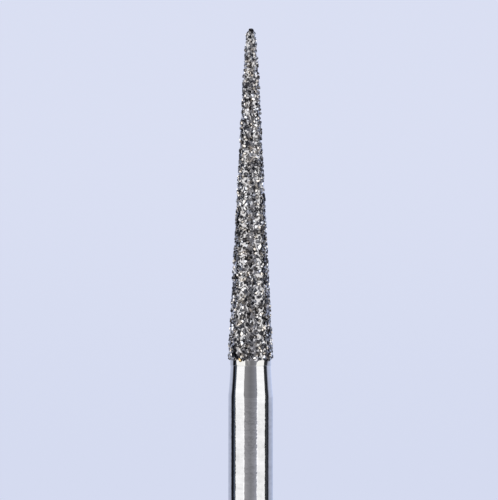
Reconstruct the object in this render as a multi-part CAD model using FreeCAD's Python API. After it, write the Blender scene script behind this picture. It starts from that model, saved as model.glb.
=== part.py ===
"""Tapered needle diamond bur for a friction-grip dental handpiece.

The bur is a turned and ground steel blank (shank, neck and the core of the head in one
piece) and the coat that is plated on its head: nickel that holds one layer of diamond
grains. Millimetres, +Z along the axis towards the tip, origin at the centre of the flat
end of the shank.
"""

import FreeCAD, Part
import math
import os
import random

import Mesh
from FreeCAD import Vector

# Shank: the straight length that the chuck grips
SHANK_DIAMETER = 1.60
SHANK_LENGTH = 11.90
END_CHAMFER = 0.10

# Neck: a taper from the shank to the land, which is bare steel below the coat
NECK_LENGTH = 1.05
LAND_LENGTH = 0.30
LAND_DIAMETER = 1.44

# Core: the long slim cone of the blank, stepped down from the land to seat the coat
CORE_LENGTH = 11.61
CORE_DIAMETER = 1.37
NOSE_RADIUS = 0.085

# Coat: the nickel over the core, the thin lip of it below the last grains, and the grains
BOND_THICKNESS = 0.080
LIP_LENGTH = 0.27
LIP_THICKNESS = 0.015
GRAIN_SPACING = 0.115
GRAIN_STAND_OUT = 0.060
EDGE_RAGGEDNESS = 0.08

# How evenly the grains lie: the share of places that hold one, and how far they wander
GRAIN_SHARE = 0.45
GRAIN_WANDER = 0.15
LEAST_AROUND = 6
GRAIN_SEED = 12

AXIS = Vector(0, 0, 1)
ORIGIN = Vector(0, 0, 0)
FACET_TOLERANCE = 1e-5

shank_radius = SHANK_DIAMETER / 2
land_radius = LAND_DIAMETER / 2
core_radius = CORE_DIAMETER / 2
land_z = SHANK_LENGTH + NECK_LENGTH
head_z = land_z + LAND_LENGTH
core_tip_z = head_z + CORE_LENGTH
nose_z = core_tip_z - NOSE_RADIUS


def at(radius, z):
    """A point of a half profile, which lies in the XZ plane."""
    return Vector(radius, 0, z)


def towards(angle):
    """The direction in the XZ plane at that angle from +X towards +Z."""
    return Vector(math.cos(angle), 0, math.sin(angle))


def line(start, end):
    return Part.LineSegment(start, end).toShape()


class Core:
    """The half profile of the head's core: a cone that runs into a round nose at its tip."""

    def __init__(self):
        self.foot = at(core_radius, head_z)
        self.nose_centre = at(0, nose_z)
        self.tip = at(0, core_tip_z)
        reach = (self.nose_centre - self.foot).Length
        rise = math.atan2(nose_z - head_z, core_radius)
        self.lean = math.acos(NOSE_RADIUS / reach) - rise
        self.shoulder = self.on_nose(self.lean)
        self.cone_length = (self.shoulder - self.foot).Length
        self.length = self.cone_length + NOSE_RADIUS * (math.pi / 2 - self.lean)

    def on_nose(self, angle):
        return self.nose_centre + towards(angle) * NOSE_RADIUS

    def edges(self):
        middle = self.on_nose((self.lean + math.pi / 2) / 2)
        nose = Part.Arc(self.shoulder, middle, self.tip).toShape()
        return [line(self.foot, self.shoulder), nose]

    def place(self, along):
        """The point of the profile that far from its foot, and the way out of it there."""
        past_cone = max(0.0, along - self.cone_length)
        angle = self.lean + past_cone / NOSE_RADIUS
        if past_cone:
            return self.on_nose(angle), towards(angle)
        return self.foot + (self.shoulder - self.foot) * (along / self.cone_length), towards(angle)


def steel_blank(core):
    """Shank, neck, land and core, turned about the axis in one piece."""
    outline = [
        ORIGIN,
        at(shank_radius - END_CHAMFER, 0),
        at(shank_radius, END_CHAMFER),
        at(shank_radius, SHANK_LENGTH),
        at(land_radius, land_z),
        at(land_radius, head_z),
        core.foot,
    ]
    edges = [line(a, b) for a, b in zip(outline, outline[1:])]
    edges += core.edges() + [line(core.tip, ORIGIN)]
    return Part.Face(Part.Wire(edges)).revolve(ORIGIN, AXIS, 360)


def grain_height(chance):
    """How far the skin stands off the core: over a grain, or in the nickel between grains."""
    if chance.random() < GRAIN_SHARE:
        return BOND_THICKNESS + GRAIN_STAND_OUT * chance.uniform(0.55, 1.0)
    return BOND_THICKNESS + GRAIN_STAND_OUT * chance.uniform(0.0, 0.25)


def grain_ring(core, along, chance, raggedness=0.0):
    """One ring of the rough skin: points one grain spacing apart, some of them raised."""
    foot, out = core.place(along)
    around = 2 * math.pi * (foot.x + BOND_THICKNESS * out.x)
    count = max(LEAST_AROUND, round(around / GRAIN_SPACING))
    start = chance.random()
    ring = []
    for i in range(count):
        turn = (i + start + chance.uniform(-GRAIN_WANDER, GRAIN_WANDER)) * 2 * math.pi / count
        point = foot + out * grain_height(chance) - AXIS * (raggedness * chance.random())
        ring.append(Vector(point.x * math.cos(turn), point.x * math.sin(turn), point.z))
    return ring


def joined(lower, upper):
    """Triangles that join two rings, taking the next point of whichever ring lags behind."""
    low, high, facets = 0, 0, []
    while low < len(lower) or high < len(upper):
        a, b = lower[low % len(lower)], upper[high % len(upper)]
        if (low + 1) * len(upper) <= (high + 1) * len(lower):
            low += 1
            facets.append([a, lower[low % len(lower)], b])
        else:
            high += 1
            facets.append([a, upper[high % len(upper)], b])
    return facets


def fan(ring, peak):
    """Triangles from a ring to one point above it."""
    return [[a, b, peak] for a, b in zip(ring, ring[1:] + ring[:1])]


def rough_body(core):
    """A solid with the coat's rough outside, filled to the axis and with a ragged lower edge."""
    chance = random.Random(GRAIN_SEED)
    rows = round(core.length / (GRAIN_SPACING * math.sqrt(3) / 2))
    rings = [grain_ring(core, 0, chance, EDGE_RAGGEDNESS)]
    rings += [grain_ring(core, core.length * k / rows, chance) for k in range(1, rows)]
    facets = [facet for pair in zip(rings, rings[1:]) for facet in joined(*pair)]
    facets += fan(rings[-1], core.tip + AXIS * (BOND_THICKNESS + GRAIN_STAND_OUT))
    facets += fan(rings[0][::-1], at(0, head_z))
    shape = Part.Shape()
    shape.makeShapeFromMesh(Mesh.Mesh(facets).Topology, FACET_TOLERANCE)
    return Part.Solid(shape.Shells[0])


def diamond_coat(core, blank):
    """The plated coat: the rough body and its thin lip, with the blank taken out of them."""
    lip_radius = land_radius + LIP_THICKNESS
    lip = Part.makeCylinder(lip_radius, LIP_LENGTH + GRAIN_SPACING, at(0, head_z - LIP_LENGTH))
    return rough_body(core).fuse(lip).cut(blank).Solids[0]


def main():
    core = Core()
    blank = steel_blank(core)
    solids = {"steel_blank": blank, "diamond_coat": diamond_coat(core, blank)}
    os.makedirs("parts", exist_ok=True)
    for name, solid in solids.items():
        print(name, solid.isValid(), round(solid.Volume, 4), len(solid.Faces), solid.BoundBox)
        solid.exportStep("parts/" + name + ".step")


main()
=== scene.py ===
"""Looks for a long tapered needle diamond bur: ground steel shank, nickel plating, diamond grit.

The shapes are modelled in millimetres and made metres at the end, so a size here reads as it
would on the drawing. The bur stands on the flat end of its shank, with its axis on +Z.
"""

import logging
import math
import random
from collections.abc import Sequence
from dataclasses import dataclass, field, replace
from enum import Enum

import bpy
from mathutils import Euler, Matrix, Vector, noise
from mathutils.kdtree import KDTree

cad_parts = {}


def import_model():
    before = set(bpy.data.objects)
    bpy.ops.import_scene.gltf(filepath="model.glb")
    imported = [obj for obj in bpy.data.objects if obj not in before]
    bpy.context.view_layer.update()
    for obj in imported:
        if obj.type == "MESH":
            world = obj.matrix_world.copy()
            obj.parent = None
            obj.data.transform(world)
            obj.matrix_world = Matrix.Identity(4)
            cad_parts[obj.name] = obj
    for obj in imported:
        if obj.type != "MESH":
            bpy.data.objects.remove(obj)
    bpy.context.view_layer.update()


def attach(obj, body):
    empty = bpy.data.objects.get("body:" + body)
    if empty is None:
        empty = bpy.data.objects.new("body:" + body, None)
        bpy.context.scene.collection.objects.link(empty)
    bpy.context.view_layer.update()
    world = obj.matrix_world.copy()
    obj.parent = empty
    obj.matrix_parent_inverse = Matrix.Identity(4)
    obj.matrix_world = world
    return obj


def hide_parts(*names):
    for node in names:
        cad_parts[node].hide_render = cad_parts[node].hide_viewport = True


METRES_PER_MM = 0.001
ROOT_BODY = "root"
STEEL_SLOT = "ground_steel"
GRIT_SLOT = "diamond_grit"

# Points nearer than this are one, in millimetres
MERGE_DISTANCE = 1e-5

# How many different crystals the grains are copied from
CRYSTAL_COUNT = 16

# In a close-packed layer, rows are this share of the spacing apart
ROW_SHARE = 0.866

Colour = tuple[float, float, float]

LOG = logging.getLogger("dental_bur")


class Habit(Enum):
    """How a crushed diamond grain is shaped."""

    BLOCKY = "blocky"
    SPLINTERY = "splintery"
    SHARD = "shard"


@dataclass(frozen=True)
class BurSizes:
    """The driving sizes of the bur, in millimetres, measured from the end of the shank."""

    shank_radius: float = 0.80
    shank_length: float = 11.90
    end_chamfer: float = 0.10
    neck_length: float = 1.05
    neck_hollow: float = 0.008
    land_length: float = 0.30
    land_radius: float = 0.72
    core_length: float = 11.61
    core_radius: float = 0.685
    nose_radius: float = 0.085
    bond: float = 0.080
    grain_stand_out: float = 0.060
    lip_length: float = 0.27
    lip_thickness: float = 0.015

    @property
    def land_z(self) -> float:
        """Height where the neck's taper ends and the land starts."""
        return self.shank_length + self.neck_length

    @property
    def head_z(self) -> float:
        """Height of the coat's lower edge."""
        return self.land_z + self.land_length

    @property
    def tip_z(self) -> float:
        """Height of the tip of the finished bur, over its grains."""
        return self.head_z + self.core_length + self.bond + self.grain_stand_out


@dataclass(frozen=True)
class Station:
    """A point of the core's half profile with the direction out of it."""

    radius: float
    height: float
    out_radius: float
    out_height: float

    def offset(self, distance: float) -> tuple[float, float]:
        """Radius and height of the point that far out of the surface."""
        return self.radius + self.out_radius * distance, self.height + self.out_height * distance

    def point(self, distance: float, turn: float) -> Vector:
        """The same point in space, at an angle round the axis."""
        radius, height = self.offset(distance)
        return Vector((radius * math.cos(turn), radius * math.sin(turn), height))

    def out(self, turn: float) -> Vector:
        """The direction out of the surface, at an angle round the axis."""
        flat = self.out_radius
        return Vector((flat * math.cos(turn), flat * math.sin(turn), self.out_height))


@dataclass(frozen=True)
class CoreProfile:
    """The core under the coat: a slim cone that runs into a round nose."""

    sizes: BurSizes

    @property
    def nose_z(self) -> float:
        """Height of the centre of the nose."""
        return self.sizes.head_z + self.sizes.core_length - self.sizes.nose_radius

    @property
    def lean(self) -> float:
        """Works out how far the cone's outward direction points up.

        Returns:
            The angle, in radians.
        """
        rise = self.nose_z - self.sizes.head_z
        reach = math.hypot(self.sizes.core_radius, rise)
        return math.acos(self.sizes.nose_radius / reach) - math.atan2(rise, self.sizes.core_radius)

    @property
    def cone_length(self) -> float:
        """Length of the cone along its slope."""
        rise = self.nose_z - self.sizes.head_z
        return math.sqrt(self.sizes.core_radius**2 + rise**2 - self.sizes.nose_radius**2)

    @property
    def length(self) -> float:
        """Length of the whole profile, from the cone's foot round the nose to the tip."""
        return self.cone_length + self.sizes.nose_radius * (math.pi / 2 - self.lean)

    def station(self, along: float) -> Station:
        """Finds a place on the profile.

        Args:
            along: distance from the cone's foot, in millimetres along the profile.

        Returns:
            The station there.
        """
        turn = self.lean + max(0.0, along - self.cone_length) / self.sizes.nose_radius
        out_radius, out_height = math.cos(turn), math.sin(turn)
        if along > self.cone_length:
            radius = self.sizes.nose_radius * out_radius
            height = self.nose_z + self.sizes.nose_radius * out_height
            return Station(radius, height, out_radius, out_height)
        radius = self.sizes.core_radius - along * math.sin(self.lean)
        height = self.sizes.head_z + along * math.cos(self.lean)
        return Station(radius, height, out_radius, out_height)


class Bench:
    """The modelling steps that every piece shares."""

    @staticmethod
    def clear() -> None:
        """Deselects everything."""
        if bpy.context.mode != "OBJECT":
            bpy.ops.object.mode_set(mode="OBJECT")
        bpy.ops.object.select_all(action="DESELECT")

    @staticmethod
    def pick(piece: bpy.types.Object) -> None:
        """Selects one object only and makes it active.

        Args:
            piece: the object.
        """
        Bench.clear()
        piece.select_set(True)
        bpy.context.view_layer.objects.active = piece

    @staticmethod
    def turned(name: str, outline: list[tuple[float, float]], segments: int) -> bpy.types.Object:
        """Makes a turned piece: its outline is extruded point by point, then spun round the axis.

        Args:
            name: name of the new object.
            outline: radius and height of each ring, from the bottom to the top.
            segments: number of sides of each ring.

        Returns:
            The closed piece, in millimetres.
        """
        # A plane merged to one point is where the outline starts
        Bench.clear()
        bpy.ops.mesh.primitive_plane_add(size=1)
        piece = bpy.context.active_object
        piece.name = name
        bpy.ops.object.mode_set(mode="EDIT")
        bpy.ops.mesh.select_all(action="SELECT")
        bpy.ops.mesh.merge(type="CENTER")
        place = Vector((0, 0, 0))
        ends = [(0.0, outline[0][1]), *outline, (0.0, outline[-1][1] + MERGE_DISTANCE / 10)]
        bpy.ops.transform.translate(value=(0, 0, ends[0][1]))
        place.z = ends[0][1]
        for radius, height in ends[1:]:
            step = Vector((radius, 0, height)) - place
            bpy.ops.mesh.extrude_region_move(TRANSFORM_OT_translate={"value": step})
            place += step
        bpy.ops.mesh.select_all(action="SELECT")
        bpy.ops.mesh.spin(steps=segments, angle=2 * math.pi, center=(0, 0, 0), axis=(0, 0, 1))
        bpy.ops.mesh.select_all(action="SELECT")
        bpy.ops.mesh.remove_doubles(threshold=MERGE_DISTANCE)
        bpy.ops.mesh.normals_make_consistent(inside=False)
        bpy.ops.object.mode_set(mode="OBJECT")
        return piece

    @staticmethod
    def smooth(piece: bpy.types.Object, angle: float) -> None:
        """Shades a piece smooth, with edges sharper than the angle, in degrees, kept."""
        Bench.pick(piece)
        bpy.ops.object.shade_smooth_by_angle(angle=math.radians(angle))

    @staticmethod
    def to_metres(piece: bpy.types.Object) -> None:
        """Scales a piece that was modelled in millimetres, and applies the scale.

        Args:
            piece: the piece.
        """
        Bench.pick(piece)
        piece.scale = (METRES_PER_MM,) * 3
        bpy.ops.object.transform_apply(location=True, rotation=True, scale=True)

    @staticmethod
    def dress(piece: bpy.types.Object, material: bpy.types.Material, slot: str, *nodes: str) -> None:
        """Gives a finished piece its material and its body, and hides the CAD nodes that it stands
        for.

        Args:
            piece: the finished piece, in metres.
            material: its only material.
            slot: the record's material slot; not used.
            nodes: the CAD nodes that the piece takes the place of.
        """
        piece.data.materials.clear()
        piece.data.materials.append(material)
        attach(piece, ROOT_BODY)
        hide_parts(*nodes)
        LOG.info("%s: %d faces", piece.name, len(piece.data.polygons))


@dataclass(frozen=True)
class Fade:
    """A smooth change from start to end, while what drives it rises from low to high."""

    low: float
    high: float
    start: float = 0.0
    end: float = 1.0

    def over(self, datum: float) -> "Fade":
        """The same fade in metres, where this one is in millimetres over a datum."""
        low, high = datum + self.low, datum + self.high
        return replace(self, low=low * METRES_PER_MM, high=high * METRES_PER_MM)


class Shader:
    """A material's node tree, with short ways to add nodes and link them."""

    # Places of a Mix node's colour sockets
    MIX_SHARE = 0
    MIX_FIRST = 6
    MIX_SECOND = 7
    MIX_RESULT = 2

    def __init__(self, tree: bpy.types.NodeTree) -> None:
        """Empties the tree.

        Args:
            tree: node tree of a material or a world.
        """
        self.tree = tree
        tree.nodes.clear()

    def add(self, kind: str, inputs: dict | None = None, **settings: object) -> bpy.types.Node:
        """Adds a node.

        Args:
            kind: type of the node.
            inputs: socket name or number to a value, or to the output that feeds it.
            settings: properties of the node.

        Returns:
            The new node.
        """
        node = self.tree.nodes.new(kind)
        for name, value in settings.items():
            setattr(node, name, value)
        for name, value in (inputs or {}).items():
            if isinstance(value, bpy.types.NodeSocket):
                self.tree.links.new(value, node.inputs[name])
            else:
                node.inputs[name].default_value = value
        return node

    def sums(self, operation: str, *values: object) -> bpy.types.NodeSocket:
        """Adds a Math node and returns its output."""
        return self.add("ShaderNodeMath", dict(enumerate(values)), operation=operation).outputs[0]

    def fade(self, value: bpy.types.NodeSocket, fade: Fade) -> bpy.types.NodeSocket:
        """Adds a fade.

        Args:
            value: the output that drives it.
            fade: its range and what it gives.

        Returns:
            The faded value's output.
        """
        inputs = {"Value": value, "From Min": fade.low, "From Max": fade.high}
        inputs |= {"To Min": fade.start, "To Max": fade.end}
        node = self.add("ShaderNodeMapRange", inputs, interpolation_type="SMOOTHSTEP")
        return node.outputs["Result"]

    def ramp(
        self, value: bpy.types.NodeSocket, stops: Sequence[tuple[float, Colour]]
    ) -> bpy.types.NodeSocket:
        """Adds a colour ramp.

        Args:
            value: what drives the ramp, from 0 to 1.
            stops: position and colour of each stop, in order.

        Returns:
            The ramp's colour output.
        """
        node = self.add("ShaderNodeValToRGB", {"Fac": value})
        elements = node.color_ramp.elements
        while len(elements) < len(stops):
            elements.new(0.5)
        for element, (position, colour) in zip(elements, stops):
            element.position = position
            element.color = (*colour, 1.0)
        return node.outputs["Color"]

    def millimetres(self, scale: tuple[float, float, float] = (1, 1, 1)) -> bpy.types.NodeSocket:
        """Adds Object coordinates in millimetres.

        Args:
            scale: factor on each axis. A small one draws a pattern out along that axis.

        Returns:
            The coordinates' output.
        """
        place = self.add("ShaderNodeTexCoord").outputs["Object"]
        factors = tuple(factor / METRES_PER_MM for factor in scale)
        return self.add("ShaderNodeMapping", {"Vector": place, "Scale": factors}).outputs["Vector"]

    def height(self) -> bpy.types.NodeSocket:
        """Adds the height over the bur's foot, in metres, and returns the output."""
        place = self.add("ShaderNodeTexCoord").outputs["Object"]
        return self.add("ShaderNodeSeparateXYZ", {"Vector": place}).outputs["Z"]

    def attribute(self, name: str) -> bpy.types.NodeSocket:
        """Adds an attribute of the mesh and returns its output."""
        node = self.add("ShaderNodeAttribute", attribute_name=name, attribute_type="GEOMETRY")
        return node.outputs["Fac"]

    def noise(self, place: bpy.types.NodeSocket, scale: float, detail: float) -> bpy.types.NodeSocket:
        """A noise value, with its scale in cycles per millimetre."""
        inputs = {"Vector": place, "Scale": scale, "Detail": detail}
        return self.add("ShaderNodeTexNoise", inputs).outputs["Fac"]

    def blend(
        self, share: object, first: object, second: object, way: str = "MIX"
    ) -> bpy.types.NodeSocket:
        """Mixes two colours, each of them a value or an output.

        Args:
            share: how much the second counts, from 0 to 1.
            first: the first colour.
            second: the second colour.
            way: how they are mixed, such as MIX or MULTIPLY.

        Returns:
            The mixed colour's output.
        """
        inputs = {self.MIX_SHARE: share, self.MIX_FIRST: first, self.MIX_SECOND: second}
        node = self.add("ShaderNodeMix", inputs, data_type="RGBA", blend_type=way)
        return node.outputs[self.MIX_RESULT]

    def finish(self, inputs: dict, bump: tuple[bpy.types.NodeSocket, float] | None = None) -> None:
        """Ends a material in a Principled shader.

        Args:
            inputs: its sockets.
            bump: height output and its full height in millimetres.
        """
        if bump:
            height, distance = bump
            sockets = {"Height": height, "Strength": 1.0, "Distance": distance * METRES_PER_MM}
            inputs["Normal"] = self.add("ShaderNodeBump", sockets).outputs["Normal"]
        surface = self.add("ShaderNodeBsdfPrincipled", inputs).outputs["BSDF"]
        self.add("ShaderNodeOutputMaterial", {"Surface": surface})


def new_shader(name: str) -> tuple[bpy.types.Material, Shader]:
    """Makes an empty node material.

    Args:
        name: the material's name.

    Returns:
        The material and its shader.
    """
    material = bpy.data.materials.new(name)
    material.use_nodes = True
    return material, Shader(material.node_tree)


@dataclass(frozen=True)
class GroundSteelFinish:
    """Stainless steel, centreless ground and polished, with faint marks round the axis.

    Sizes are in millimetres, and the fades of colour and mottle run over the shank's upper end.
    """

    colour: Colour = (0.670, 0.669, 0.675)
    # Painted shade: lower down the shank the steel's colour is a little darker
    lower_colour: Colour = (0.655, 0.653, 0.661)
    colour_fade: Fade = Fade(-3.0, 0.6)
    cloud_per_mm: float = 1.4
    roughness: Fade = Fade(0.3, 0.7, 0.04, 0.07)
    mark_height: float = 0.0010
    marks_per_mm: float = 9.0
    mark_stretch: tuple[float, float, float] = (0.12, 0.12, 1.0)
    mottle_height: float = 0.0030
    mottle_per_mm: float = 10.0
    mottle_stretch: tuple[float, float, float] = (1.0, 1.0, 0.7)
    mottle_fade: Fade = Fade(-0.6, 0.2, 1.0, 0.25)
    mottle_wear: Fade = Fade(0.25, 0.6, 0.35, 1.0)
    tone_top: float = 1.195
    tone_of_marks: float = 0.28
    tone_of_mottle: float = 0.26

    def material(self, neck_z: float) -> bpy.types.Material:
        """Builds the material.

        Args:
            neck_z: height of the shank's upper end. The skin below it is more mottled.

        Returns:
            The material.
        """
        material, shader = new_shader("ground_steel")
        rings = shader.noise(shader.millimetres(self.mark_stretch), self.marks_per_mm, 3.0)
        mottle = shader.noise(shader.millimetres(self.mottle_stretch), self.mottle_per_mm, 2.0)
        cloud = shader.noise(shader.millimetres(), self.cloud_per_mm, 2.0)
        height = shader.height()
        plain = shader.fade(height, self.mottle_fade.over(neck_z))
        worn = shader.sums("MULTIPLY", plain, shader.fade(cloud, self.mottle_wear))
        skin = shader.sums("MULTIPLY", mottle, worn)
        ground = shader.sums("MULTIPLY_ADD", skin, self.mottle_height / self.mark_height, rings)
        # Painted shade: the colour darkens a little from the neck down the shank
        painted_low_shade = shader.fade(height, self.colour_fade.over(neck_z))
        steel = shader.blend(painted_low_shade, (*self.lower_colour, 1.0), (*self.colour, 1.0))
        marks = shader.sums("MULTIPLY", rings, self.tone_of_marks)
        spots = shader.sums("MULTIPLY", skin, self.tone_of_mottle)
        shade = shader.sums("SUBTRACT", self.tone_top, shader.sums("ADD", marks, spots))
        tone = shader.blend(1.0, steel, shade, "MULTIPLY")
        rough = shader.fade(cloud, self.roughness)
        inputs = {"Base Color": tone, "Metallic": 1.0, "Roughness": rough}
        shader.finish(inputs, (ground, self.mark_height))
        return material


@dataclass(frozen=True)
class NickelFinish:
    """Electroplated nickel: satin and lumpy between the grains, bright on the lip, with painted shade
    beside the grains and along the coat's lower edge.
    """

    colour: Colour = (0.66, 0.655, 0.64)
    # Painted shade: near black beside each grain and at the top of the lip, under the grains
    painted_collar_shade: Colour = (0.03, 0.03, 0.034)
    gap_colour: Colour = (0.55, 0.54, 0.545)
    gap_fade: Fade = Fade(0.05, 0.75)
    edge_fade: Fade = Fade(-0.08, 0.0)
    roughness: Fade = Fade(0.0, 1.0, 0.05, 0.16)
    grain_per_mm: float = 14.0
    bump_height: float = 0.001

    def material(self, head_z: float, gap_name: str) -> bpy.types.Material:
        """Builds the material.

        Args:
            head_z: height of the coat's lower edge, with painted shade above it and the bright lip
                below.
            gap_name: attribute that is 1 in the gaps between grains and 0 beside a grain.

        Returns:
            The material.
        """
        material, shader = new_shader("plated_nickel")
        over = shader.fade(shader.height(), self.edge_fade.over(head_z))
        fine = shader.noise(shader.millimetres(), self.grain_per_mm, 2.0)
        rough = shader.fade(over, self.roughness)
        shade = shader.fade(shader.attribute(gap_name), self.gap_fade)
        # Painted shade: near black beside the grains and at the top of the lip, plain nickel in the
        # gaps
        collar = shader.blend(over, (*self.colour, 1.0), (*self.painted_collar_shade, 1.0))
        tone = shader.blend(shade, collar, (*self.gap_colour, 1.0))
        bumps = shader.sums("MULTIPLY", fine, over)
        inputs = {"Base Color": tone, "Metallic": 1.0, "Roughness": rough}
        shader.finish(inputs, (bumps, self.bump_height))
        return material


@dataclass(frozen=True)
class DiamondFinish:
    """Crushed grey diamond: glassy facets, each grain with a tone of its own."""

    metallic: float = 0.95
    refraction: float = 2.42
    facet_per_mm: float = 12.0
    bump_height: float = 0.003
    roughness: Fade = Fade(0.35, 0.65, 0.07, 0.154)
    hue_per_mm: float = 5.0
    hue_fade: Fade = Fade(0.35, 0.65)
    warm: Colour = (1.04, 0.965, 0.86)
    cool: Colour = (0.92, 0.96, 1.02)

    # From dark to bright, and last the amber of a stained grain
    tones: tuple[tuple[float, Colour], ...] = (
        (0.12, (0.02, 0.02, 0.025)),
        (0.335, (0.06, 0.06, 0.07)),
        (0.475, (0.26, 0.255, 0.255)),
        (0.60, (0.72, 0.705, 0.70)),
        (0.74, (0.975, 0.968, 0.985)),
        (0.91, (0.975, 0.968, 0.985)),
        (0.94, (0.80, 0.62, 0.34)),
    )

    def material(self, tone_name: str) -> bpy.types.Material:
        """Builds the material.

        Args:
            tone_name: attribute that holds each facet's tone, from 0 to 1.

        Returns:
            The material.
        """
        material, shader = new_shader("diamond_grain")
        shade = shader.ramp(shader.attribute(tone_name), self.tones)
        drift = shader.noise(shader.millimetres(), self.hue_per_mm, 1.0)
        hue = shader.fade(drift, self.hue_fade)
        tint = shader.blend(hue, (*self.cool, 1.0), (*self.warm, 1.0))
        colour = shader.blend(1.0, shade, tint, "MULTIPLY")
        cloud = shader.noise(shader.millimetres(), self.facet_per_mm, 1.0)
        rough = shader.fade(cloud, self.roughness)
        inputs = {"Base Color": colour, "Metallic": self.metallic}
        inputs |= {"Roughness": rough, "IOR": self.refraction}
        shader.finish(inputs, (cloud, self.bump_height))
        return material


@dataclass(frozen=True)
class SteelBlank:
    """Shank, neck, land and core, turned in one piece. Lengths are in millimetres."""

    sizes: BurSizes
    core: CoreProfile
    segments: int = 192
    neck_rings: int = 12
    cone_rings: int = 6
    nose_rings: int = 7
    edge_cut: float = 0.015
    edge_rise: float = 0.020
    guard: float = 0.060
    step_rise: float = 0.002
    smooth_angle: float = 25.0

    def outline(self) -> list[tuple[float, float]]:
        """Draws the blank's half profile.

        Returns:
            Radius and height of each ring, from the end of the shank to the tip of the core.
        """
        sizes, core = self.sizes, self.core
        full = sizes.shank_radius
        rings = [
            (full - sizes.end_chamfer, 0.0),
            (full - self.edge_cut, sizes.end_chamfer - self.edge_cut),
            (full, sizes.end_chamfer + self.edge_rise),
            (full, sizes.end_chamfer + self.guard),
            (full, sizes.shank_length - self.guard),
        ]
        for number in range(self.neck_rings + 1):
            share = number / self.neck_rings
            sag = sizes.neck_hollow * 4 * share * (1 - share)
            radius = full + (sizes.land_radius - full) * share - sag
            rings.append((radius, sizes.shank_length + sizes.neck_length * share))
        rings.append((sizes.land_radius, sizes.head_z - self.step_rise))
        rings.append((sizes.core_radius, sizes.head_z))
        reach = [core.cone_length * number / self.cone_rings for number in range(1, self.cone_rings)]
        arc = core.length - core.cone_length
        for number in range(self.nose_rings):
            reach.append(core.cone_length + arc * number / self.nose_rings)
        return rings + [core.station(along).offset(0.0) for along in reach]

    def build(self) -> bpy.types.Object:
        """Models the blank and dresses it.

        Returns:
            The finished blank.
        """
        piece = Bench.turned("ground_blank", self.outline(), self.segments)
        Bench.smooth(piece, self.smooth_angle)
        Bench.to_metres(piece)
        finish = GroundSteelFinish().material(self.sizes.shank_length)
        Bench.dress(piece, finish, STEEL_SLOT, "steel_blank")
        return piece


@dataclass(frozen=True)
class GrainSeat:
    """Where one diamond grain sits, how large it is and how it is turned."""

    station: Station
    turn: float
    size: float
    tip_height: float
    tone: float
    habit: int
    attitude: Euler
    stained: bool = False


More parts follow.
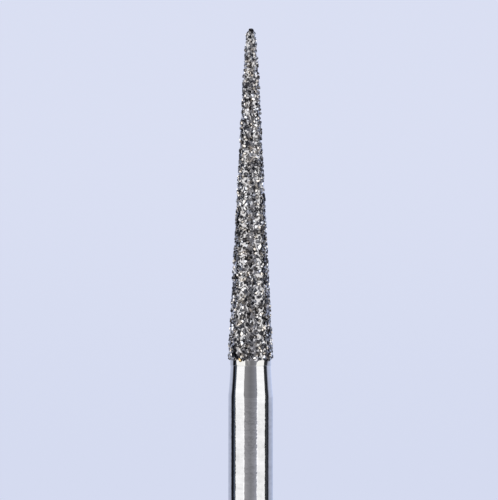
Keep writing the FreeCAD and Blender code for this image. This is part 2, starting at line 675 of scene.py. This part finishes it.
@dataclass(frozen=True)
class Scatter:
    """The scatter of the grains over the head, the same at every run.

    Lengths are in millimetres and angles in degrees.
    """

    sizes: BurSizes
    core: CoreProfile
    seed: int = 41
    spacing: float = 0.152
    wander: float = 0.34
    first_row: float = 0.06

    # Size of a grain, from the smallest to the largest, and how much smaller it is at the tip
    size_low: float = 0.100
    size_high: float = 0.200
    size_usual: float = 0.135
    tip_shrink: float = 0.15

    # Share of the full stand-out that a grain has, and what the slim tip adds to it
    stand_low: float = -0.1
    stand_high: float = 1.25
    stand_usual: float = 0.75
    tip_gain: float = 0.014
    calm_length: float = 0.70
    calm_share: float = 0.30
    tilt: float = 3.5

    # Tone of a grain: clumps of like grains, and paler ones towards the tip
    clumps_per_mm: float = 1.7
    clump_gain: float = 0.35
    clump_start: float = 23.4
    tone_rise: float = 0.15

    # The lower edge: its row of grains and the amber one
    edge_gap: float = 1.15
    edge_low: float = -0.9
    edge_high: float = 1.3
    edge_wander: float = 0.3
    amber_azimuth: float = -29.5
    amber_drop: float = 0.045
    amber_size: float = 0.15
    amber_height: float = 0.070

    # The nose: dark grains round it and one on its top
    nose_count: int = 5
    nose_size: float = 0.12
    nose_height: float = 0.01
    nose_darkness: float = 0.9
    crown_size: float = 0.23

    def along(self, share: float) -> float:
        """Finds the place on the profile that has a share of the head's skin below it.

        Args:
            share: that share, from 0 to 1.

        Returns:
            The distance along the profile.
        """
        base = self.sizes.core_radius + self.sizes.bond
        fall = math.sin(self.core.lean)
        reach = self.core.cone_length
        skin = share * (base * reach - fall * reach**2 / 2)
        return (base - math.sqrt(base**2 - 2 * fall * skin)) / fall

    def seats(self) -> list[GrainSeat]:
        """Lays the grains out along a tight spiral, then lets each wander.

        Returns:
            The seats of all the grains.
        """
        chance = random.Random(self.seed)
        base = self.sizes.core_radius + self.sizes.bond
        fall = math.sin(self.core.lean)
        reach = self.core.cone_length
        skin = 2 * math.pi * (base * reach - fall * reach**2 / 2)
        count = round(skin / (self.spacing**2 * ROW_SHARE))
        golden = math.pi * (3 - math.sqrt(5))
        seats = []
        for number in range(count):
            wander = chance.uniform(-self.wander, self.wander) * self.spacing
            along = max(self.first_row, self.along((number + 0.5) / count) + wander)
            station = self.core.station(along)
            around = station.radius + self.sizes.bond
            aside = chance.uniform(-self.wander, self.wander) * self.spacing / around
            seats.append(self.seat(chance, station, number * golden + aside))
        return seats + self.edge_seats(chance) + self.nose_seats(chance)

    def edge_seats(self, chance: random.Random) -> list[GrainSeat]:
        """Lays a closer row of grains along the coat's lower edge, with an amber one in front.

        Args:
            chance: source of the random draws.

        Returns:
            The seats of the row.
        """
        around = 2 * math.pi * (self.sizes.core_radius + self.sizes.bond)
        count = round(around / (self.edge_gap * self.spacing))
        seats = []
        for number in range(count):
            along = self.first_row * chance.uniform(self.edge_low, self.edge_high)
            aside = chance.uniform(-self.edge_wander, self.edge_wander)
            turn = (number + aside) * 2 * math.pi / count
            seats.append(self.seat(chance, self.core.station(along), turn))
        land = Station(self.sizes.land_radius, self.sizes.head_z - self.amber_drop, 1.0, 0.0)
        amber = self.seat(chance, land, math.radians(self.amber_azimuth - 90))
        amber = replace(amber, size=self.amber_size, tip_height=self.amber_height, stained=True)
        return [*seats, amber]

    def nose_seats(self, chance: random.Random) -> list[GrainSeat]:
        """Lays dark grains round the nose, with one on the very tip that sets the bur's length.

        Args:
            chance: source of the random draws.

        Returns:
            The seats of these grains.
        """
        crown = self.seat(chance, self.core.station(self.core.length), 0.0)
        top = self.sizes.bond + self.sizes.grain_stand_out
        crown = replace(crown, size=self.crown_size, tip_height=top, tone=-self.nose_darkness)
        seats = [replace(crown, habit=0, attitude=Euler())]
        height = self.sizes.bond + self.nose_height
        for number in range(self.nose_count):
            below = self.sizes.nose_radius * chance.uniform(0.8, 1.1)
            station = self.core.station(self.core.length - below)
            seat = self.seat(chance, station, number * 2 * math.pi / self.nose_count)
            tone = seat.tone - self.nose_darkness
            seats.append(replace(seat, size=self.nose_size, tip_height=height, tone=tone))
        return seats

    def seat(self, chance: random.Random, station: Station, turn: float) -> GrainSeat:
        """Draws the size, height, tone and attitude of one grain.

        Args:
            chance: source of the random draws.
            station: where on the profile it sits.
            turn: where round the axis it sits, in radians.

        Returns:
            The grain's seat.
        """
        breadth = station.radius / self.sizes.core_radius
        size = 1 - self.tip_shrink + self.tip_shrink * breadth
        size *= chance.triangular(self.size_low, self.size_high, self.size_usual)
        stand_out = self.sizes.grain_stand_out
        stand_out *= chance.triangular(self.stand_low, self.stand_high, self.stand_usual)
        below_nose = min(1.0, max(0.0, self.core.nose_z - station.height) / self.calm_length)
        calm = self.calm_share + (1 - self.calm_share) * below_nose
        tip_height = self.sizes.bond + calm * (stand_out + self.tip_gain * (1 - breadth))
        tilts = [math.radians(chance.gauss(0, self.tilt)) for _ in range(2)]
        attitude = Euler((*tilts, chance.uniform(0, 2 * math.pi)))
        habit = chance.randrange(CRYSTAL_COUNT)
        start = Vector((0, 0, self.clump_start))
        field_place = station.point(0.0, turn) * self.clumps_per_mm + start
        tone = chance.random() + self.clump_gain * noise.noise(field_place)
        tone += self.tone_rise * (1 - breadth)
        return GrainSeat(station, turn, size, tip_height, tone, habit, attitude)


@dataclass
class DiamondGrains:
    """The layer of diamond grains: a few crystals, copied to every seat.

    A crystal is modelled one millimetre across, so its sizes are shares of a grain's size.
    """

    seats: list[GrainSeat]
    seed: int = 700
    shard_radius: float = 0.56
    block_size: float = 0.88
    roughening: float = 0.12
    top_lean: float = 0.1
    top_cut: float = 0.33
    side_cut: tuple[float, float] = (0.37, 0.44)
    side_counts: tuple[int, ...] = (3, 4, 5)
    side_wander: float = 0.3
    side_rise: tuple[float, float] = (22.0, 55.0)
    slim: tuple[float, float] = (1.15, 1.45)
    stout: tuple[float, float] = (0.95, 1.15)

    # Tone: how much of it a facet has of its own, and the brightest that isn't amber
    tone_name: str = "facet_tone"
    facet_share: float = 0.60
    brightest: float = 0.9
    crystals: list[bpy.types.Object] = field(default_factory=list)

    def crystal(self, number: int) -> bpy.types.Object:
        """Models one irregular crystal, about one millimetre across, with a broad facet on top.

        Args:
            number: which crystal this is. It seeds the crystal's shape.

        Returns:
            The crystal.
        """
        habit = list(Habit)[number % len(Habit)]
        chance = random.Random(self.seed + number)
        Bench.clear()
        if habit is Habit.SHARD:
            bpy.ops.mesh.primitive_ico_sphere_add(subdivisions=1, radius=self.shard_radius)
        else:
            bpy.ops.mesh.primitive_cube_add(size=self.block_size)
        piece = bpy.context.active_object
        piece.name = f"crystal_{number}"
        bpy.ops.object.mode_set(mode="EDIT")
        bpy.ops.mesh.select_all(action="SELECT")
        bpy.ops.transform.vertex_random(
            offset=self.roughening, uniform=1.0, normal=0.0, seed=number
        )
        bpy.ops.mesh.convex_hull()
        for facet, facing in enumerate(self.cuts(chance)):
            depth = chance.uniform(*self.side_cut) if facet else self.top_cut
            bpy.ops.mesh.select_all(action="SELECT")
            bpy.ops.mesh.bisect(
                plane_co=facing * depth,
                plane_no=facing,
                use_fill=True,
                clear_outer=True,
                threshold=MERGE_DISTANCE,
            )
        stretch = chance.uniform(*(self.slim if habit is Habit.SPLINTERY else self.stout))
        bpy.ops.mesh.select_all(action="SELECT")
        bpy.ops.transform.resize(value=(1 / math.sqrt(stretch), math.sqrt(stretch), 1.0))
        bpy.ops.mesh.normals_make_consistent(inside=False)
        bpy.ops.object.mode_set(mode="OBJECT")
        return piece

    def cuts(self, chance: random.Random) -> list[Vector]:
        """Draws the directions of a crystal's cut facets.

        Args:
            chance: source of the random draws.

        Returns:
            The directions: first the one on top, then those round it.
        """
        lean = [chance.uniform(-self.top_lean, self.top_lean) for _ in range(2)]
        facings = [Vector((*lean, 1)).normalized()]
        count = chance.choice(self.side_counts)
        start = chance.uniform(0, 2 * math.pi)
        for number in range(count):
            aside = chance.uniform(-self.side_wander, self.side_wander)
            turn = start + (number + aside) * 2 * math.pi / count
            rise = math.radians(chance.uniform(*self.side_rise))
            level = math.cos(rise)
            facings.append(Vector((math.cos(turn) * level, math.sin(turn) * level, math.sin(rise))))
        return facings

    def place(self, seat: GrainSeat) -> bpy.types.Object:
        """Copies a crystal to a seat, with the crystal's highest corner at the seat's height.

        Args:
            seat: where the grain sits, and how.

        Returns:
            The grain.
        """
        source = self.crystals[seat.habit]
        copy = source.copy()
        copy.data = source.data.copy()
        out = seat.station.out(seat.turn)
        upright = out.to_track_quat("Z", "Y").to_matrix().to_4x4()
        turned = upright @ seat.attitude.to_matrix().to_4x4() @ Matrix.Scale(seat.size, 4)
        reach = max(out.dot(turned @ vertex.co) for vertex in source.data.vertices)
        middle = seat.station.point(seat.tip_height - reach, seat.turn)
        copy.data.transform(Matrix.Translation(middle) @ turned)
        chance = random.Random(seat.turn)
        own = self.facet_share
        tones = [(1 - own) * seat.tone + own * chance.random() for _ in copy.data.polygons]
        facets = [self.brightest * min(1.0, max(0.0, tone)) for tone in tones]
        if seat.stained:
            facets = [1.0 for _ in facets]
        attribute = copy.data.attributes.new(self.tone_name, "FLOAT", "FACE")
        attribute.data.foreach_set("value", facets)
        bpy.context.scene.collection.objects.link(copy)
        return copy

    def build(self) -> bpy.types.Object:
        """Models the crystals, fills every seat and joins the grains.

        Returns:
            The finished layer.
        """
        self.crystals = [self.crystal(number) for number in range(CRYSTAL_COUNT)]
        copies = [self.place(seat) for seat in self.seats]
        Bench.pick(copies[0])
        for copy in copies:
            copy.select_set(True)
        bpy.ops.object.join()
        grains = bpy.context.active_object
        grains.name = "diamond_grains"
        for crystal in self.crystals:
            bpy.data.objects.remove(crystal)
        Bench.to_metres(grains)
        Bench.dress(grains, DiamondFinish().material(self.tone_name), GRIT_SLOT, "diamond_coat")
        return grains


@dataclass(frozen=True)
class NickelBond:
    """The plating: lumpy between the grains that it holds, with a thin bright lip below them.

    Lengths are in millimetres.
    """

    sizes: BurSizes
    core: CoreProfile
    seats: list[GrainSeat]
    seed: int = 5
    segments: int = 144
    ring_pitch: float = 0.038
    smooth_angle: float = 60.0

    # The lip's rounded edge: how far in from its skin, and how far over its foot
    lip_bite: float = 0.01
    lip_edge: tuple[tuple[float, float], ...] = (
        (0.010, 0.0),
        (0.003, 0.003),
        (0.0, 0.010),
        (0.0, 0.022),
    )

    # How the lip swells into the coat: how far out of its skin, and how far under the head
    lip_swell: tuple[tuple[float, float], ...] = ((0.0, 0.09), (0.002, 0.05), (0.012, 0.02))

    # How the skin dips in the gaps and climbs beside the grains, and where it starts to
    dip: float = 0.012
    collar: float = 0.020
    collar_width: float = 0.018
    collar_reach: float = 0.40
    shake: float = 0.001
    calm_lip: float = 0.06
    gap_name: str = "gap"

    def outline(self) -> list[tuple[float, float]]:
        """Draws the plating's half profile.

        Returns:
            Radius and height of each ring, from the lip's edge to the top of the nose.
        """
        sizes, core = self.sizes, self.core
        lip = sizes.land_radius + sizes.lip_thickness
        foot = sizes.head_z - sizes.lip_length
        rings = [(sizes.land_radius - self.lip_bite, foot)]
        rings += [(lip - inset, foot + rise) for inset, rise in self.lip_edge]
        rings += [(lip + swell, sizes.head_z - drop) for swell, drop in self.lip_swell]
        count = round(core.length / self.ring_pitch)
        for number in range(1, count):
            rings.append(core.station(core.length * number / count).offset(sizes.bond))
        return rings

    def build(self) -> bpy.types.Object:
        """Models the plating, lets it dip and climb between the grains, and dresses it.

        Returns:
            The finished plating.
        """
        piece = Bench.turned("nickel_bond", self.outline(), self.segments)
        self.climb(piece)
        Bench.smooth(piece, self.smooth_angle)
        Bench.to_metres(piece)
        finish = NickelFinish().material(self.sizes.head_z, self.gap_name)
        Bench.dress(piece, finish, GRIT_SLOT, "diamond_coat")
        return piece

    def climb(self, piece: bpy.types.Object) -> None:
        """Moves the skin in between the grains and out where it climbs their sides.

        Args:
            piece: the turned plating, in millimetres. It gets an attribute that is 1 in the
                gaps between grains and 0 beside a grain and on the lip.
        """
        tree = KDTree(len(self.seats))
        for number, seat in enumerate(self.seats):
            tree.insert(seat.station.point(self.sizes.bond, seat.turn), number)
        tree.balance()
        chance = random.Random(self.seed)
        calm_z = self.sizes.head_z - self.calm_lip
        gaps = []
        for vertex in piece.data.vertices:
            _, nearest, distance = tree.find(vertex.co)
            rim = max(0.0, distance - self.collar_reach * self.seats[nearest].size)
            near = math.exp(-((rim / self.collar_width) ** 2))
            if vertex.co.z < calm_z or vertex.co.xy.length < MERGE_DISTANCE / 10:
                gaps.append(0.0)
                continue
            gaps.append(1.0 - near)
            shake = chance.uniform(-self.shake, self.shake)
            rise = self.collar * near - self.dip + shake
            out = vertex.co.xy.normalized() * rise
            vertex.co.x += out.x
            vertex.co.y += out.y
        depth = piece.data.attributes.new(self.gap_name, "FLOAT", "POINT")
        depth.data.foreach_set("value", gaps)


@dataclass(frozen=True)
class Softbox:
    """A large soft lamp that stands upright or hangs overhead, facing the bur.

    Angles are in degrees, the azimuth from the camera's side towards +X, and the distance in
    metres. The radiance is what a mirror would show of it, where 1 is white.
    """

    name: str
    azimuth: float
    elevation: float
    spread: float
    rise: float
    radiance: float
    roll: float = 0.0
    distance: float = 0.40

    def build(self, target: Vector) -> None:
        """Adds the lamp.

        Args:
            target: the point that it faces, in metres.
        """
        azimuth, elevation = math.radians(self.azimuth), math.radians(self.elevation)
        level = math.cos(elevation)
        away = Vector((math.sin(azimuth) * level, -math.cos(azimuth) * level, math.sin(elevation)))
        lamp = bpy.data.lights.new(self.name, "AREA")
        lamp.shape = "RECTANGLE"
        lamp.size = 2 * self.distance * math.tan(math.radians(self.spread / 2))
        lamp.size_y = 2 * self.distance * math.tan(math.radians(self.rise / 2))
        lamp.energy = self.radiance * math.pi * lamp.size * lamp.size_y
        holder = bpy.data.objects.new(self.name, lamp)
        holder.location = target + away * self.distance
        rolled = Euler((0, 0, math.radians(self.roll))).to_quaternion()
        holder.rotation_euler = (away.to_track_quat("Z", "Y") @ rolled).to_euler()
        holder.visible_camera = False
        bpy.context.scene.collection.objects.link(holder)


@dataclass(frozen=True)
class Studio:
    """Pale blue backdrop, softboxes left and right, dark gaps beside them, and a floor.

    Lengths are in metres. The room's fades are driven by how far a direction goes up, right
    or away from the camera, from -1 to 1.
    """

    height: float = 0.017
    backdrop: Colour = (0.700, 0.738, 0.892)
    backdrop_low: Colour = (0.665, 0.708, 0.871)
    backdrop_sweep: Fade = Fade(-0.09, 0.05)

    # Brightness of the walls in front, by height, and of those behind, by side and height
    front_shade: Fade = Fade(-0.095, -0.025, 1.17, 0.79)
    behind_shade: Fade = Fade(-0.3, 0.3, 0.98, 1.17)
    behind_rise: Fade = Fade(-0.058, -0.02)
    front_to_behind: Fade = Fade(0.15, 0.35)
    roof: Colour = (0.20, 0.21, 0.23)
    roof_fade: Fade = Fade(0.6, 0.85)
    underfoot: Colour = (0.34, 0.35, 0.39)
    underfoot_share: float = 0.60
    underfoot_fade: Fade = Fade(-0.85, -0.6, 1.0, 0.0)

    # The floor: its radius, the shares of it where it fades, and its paper
    floor_radius: float = 0.088
    floor_fade: tuple[float, float] = (0.30, 0.98)
    paper_glow: float = 0.60
    paper_share: float = 0.60
    softboxes: tuple[Softbox, ...] = (
        Softbox("softbox_left", -59.25, 0.0, 48.5, 100.0, 1.36, 18.0),
        Softbox("softbox_right", 56.5, 0.0, 45.4, 100.0, 1.36, -14.0),
        Softbox("softbox_top", 0.0, 89.9, 60.0, 60.0, 0.60),
    )

    def build(self) -> None:
        """Sets up the lamps, the world and the floor."""
        for softbox in self.softboxes:
            softbox.build(Vector((0, 0, self.height)))
        self.world()
        self.floor()

    def world(self) -> None:
        """Builds the room: what metal reflects all round, and the plain backdrop behind it."""
        world = bpy.data.worlds.new("studio_world")
        world.use_nodes = True
        bpy.context.scene.world = world
        shader = Shader(world.node_tree)
        way = shader.add("ShaderNodeTexCoord").outputs["Generated"]
        parts = shader.add("ShaderNodeSeparateXYZ", {"Vector": way})
        right, away, up = (parts.outputs[axis] for axis in "XYZ")
        azimuth = shader.sums("ARCTAN2", right, shader.sums("MULTIPLY", away, -1.0))
        share = shader.sums("MULTIPLY_ADD", azimuth, 0.5 / math.pi, 0.5)
        room = shader.ramp(share, [((angle + 180) / 360, colour) for angle, colour in self.walls()])
        ground = shader.blend(self.underfoot_share, room, (*self.underfoot, 1.0))
        walls = self.roofed(shader, room, (right, away, up))
        dome = shader.blend(shader.fade(up, self.underfoot_fade), walls, ground)
        sweep = shader.fade(up, self.backdrop_sweep)
        plain = shader.blend(sweep, (*self.backdrop_low, 1.0), (*self.backdrop, 1.0))
        seen = shader.add("ShaderNodeLightPath").outputs["Is Camera Ray"]
        lit = shader.add("ShaderNodeBackground", {"Color": dome, "Strength": 1.0}).outputs[0]
        shown = shader.add("ShaderNodeBackground", {"Color": plain, "Strength": 1.0}).outputs[0]
        mixed = shader.add("ShaderNodeMixShader", {0: seen, 1: lit, 2: shown}).outputs[0]
        shader.add("ShaderNodeOutputWorld", {"Surface": mixed})

    def roofed(
        self,
        shader: Shader,
        room: bpy.types.NodeSocket,
        way: tuple[bpy.types.NodeSocket, bpy.types.NodeSocket, bpy.types.NodeSocket],
    ) -> bpy.types.NodeSocket:
        """Shades the room's walls, and closes them with a darker roof.

        In front the walls are brighter low down. Behind the bur they are a little brighter
        high up on the right.

        Args:
            shader: the world's shader.
            room: the walls' colour.
            way: how far a direction goes right, away from the camera, and up.

        Returns:
            The colour's output.
        """
        right, away, up = way
        front = shader.fade(up, self.front_shade)
        lift = shader.fade(right, self.behind_shade)
        behind = shader.blend(shader.fade(up, self.behind_rise), (1.0, 1.0, 1.0, 1.0), lift)
        slope = shader.blend(shader.fade(away, self.front_to_behind), front, behind)
        shaded = shader.blend(1.0, room, slope, "MULTIPLY")
        return shader.blend(shader.fade(up, self.roof_fade), shaded, (*self.roof, 1.0))

    def walls(self) -> list[tuple[float, Colour]]:
        """Colours the walls, which polished metal shows as bands.

        Returns:
            Azimuth from the camera's side, in degrees, and colour of each part of the room.
        """
        black = (0.012, 0.012, 0.016)
        navy = (0.17, 0.21, 0.29)
        hidden = (0.03, 0.03, 0.03)
        aside = (0.575, 0.62, 0.78)
        return [
            (-180.0, self.backdrop),
            (-150.0, (0.62, 0.68, 0.87)),
            (-122.0, aside),
            (-114.0, black),
            (-98.0, black),
            (-91.0, navy),
            (-85.0, hidden),
            (-36.0, hidden),
            (-33.8, (0.45, 0.44, 0.45)),
            (-16.0, (0.35, 0.345, 0.365)),
            (0.0, (0.28, 0.28, 0.30)),
            (17.0, (0.34, 0.34, 0.375)),
            (32.6, (0.44, 0.45, 0.52)),
            (35.4, hidden),
            (82.0, hidden),
            (88.0, (0.08, 0.085, 0.095)),
            (98.0, black),
            (101.0, black),
            (113.0, aside),
            (138.0, (0.58, 0.65, 0.86)),
            (158.0, (0.61, 0.69, 0.93)),
        ]

    def floor(self) -> None:
        """Adds the floor, which takes the bur's shadow and fades into the backdrop."""
        Bench.clear()
        bpy.ops.mesh.primitive_circle_add(vertices=96, radius=self.floor_radius, fill_type="NGON")
        floor = bpy.context.active_object
        floor.name = "studio_floor"
        floor.visible_glossy = False
        material, shader = new_shader("floor_paper")
        place = shader.add("ShaderNodeTexCoord").outputs["Object"]
        reach = shader.add("ShaderNodeVectorMath", {0: place}, operation="LENGTH").outputs["Value"]
        rim = shader.fade(reach, Fade(*(share * self.floor_radius for share in self.floor_fade)))
        shade = tuple(self.paper_share * channel for channel in self.backdrop)
        diffuse = shader.add("ShaderNodeBsdfDiffuse", {"Color": (*shade, 1.0)}).outputs[0]
        seen = shader.add("ShaderNodeLightPath").outputs["Is Camera Ray"]
        glow = shader.sums("MULTIPLY", seen, self.paper_glow)
        inputs = {"Color": (*self.backdrop_low, 1.0), "Strength": glow}
        light = shader.add("ShaderNodeEmission", inputs).outputs[0]
        paper = shader.add("ShaderNodeAddShader", {0: diffuse, 1: light}).outputs[0]
        clear = shader.add("ShaderNodeBsdfTransparent").outputs[0]
        mixed = shader.add("ShaderNodeMixShader", {0: rim, 1: paper, 2: clear}).outputs[0]
        shader.add("ShaderNodeOutputMaterial", {"Surface": mixed})
        floor.data.materials.append(material)


@dataclass(frozen=True)
class StudioCamera:
    """A long lens, level with the middle of what it sees.

    Lens and sensor are in millimetres, the frame in pixels, the lean in radians, and the
    nearest and farthest that it sees in metres.
    """

    lens: float = 200.0
    sensor: float = 36.0
    frame_width: float = 498.0
    frame_height: float = 500.0
    axis_x_pixel: float = 250.75
    tip_y_pixel: float = 28.5
    pixels_per_mm: float = 28.03
    lean: float = 0.0011
    nearest: float = 0.001
    farthest: float = 10.0

    def build(self, tip_z: float) -> None:
        """Adds the camera.

        Args:
            tip_z: height of the bur's tip, in millimetres.
        """
        data = bpy.data.cameras.new("studio_camera")
        data.lens = self.lens
        data.sensor_width = self.sensor
        distance = self.lens / self.sensor * self.frame_height / self.pixels_per_mm
        aside = (self.frame_width / 2 - self.axis_x_pixel) / self.pixels_per_mm
        height = tip_z - (self.frame_height / 2 - self.tip_y_pixel) / self.pixels_per_mm
        camera = bpy.data.objects.new("studio_camera", data)
        camera.location = Vector((aside, -distance, height)) * METRES_PER_MM
        camera.rotation_euler = (math.pi / 2, -self.lean, 0)
        data.clip_start = self.nearest
        data.clip_end = self.farthest
        bpy.context.scene.collection.objects.link(camera)
        bpy.context.scene.camera = camera


def main() -> None:
    logging.basicConfig(level=logging.INFO, format="%(name)s: %(message)s")
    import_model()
    sizes = BurSizes()
    core = CoreProfile(sizes)
    bpy.context.scene.view_settings.view_transform = "Standard"
    StudioCamera().build(sizes.tip_z)
    Studio().build()
    SteelBlank(sizes, core).build()
    seats = Scatter(sizes, core).seats()
    LOG.info("%d grains", len(seats))
    NickelBond(sizes, core, seats).build()
    DiamondGrains(seats).build()


if __name__ == "__main__":
    main()
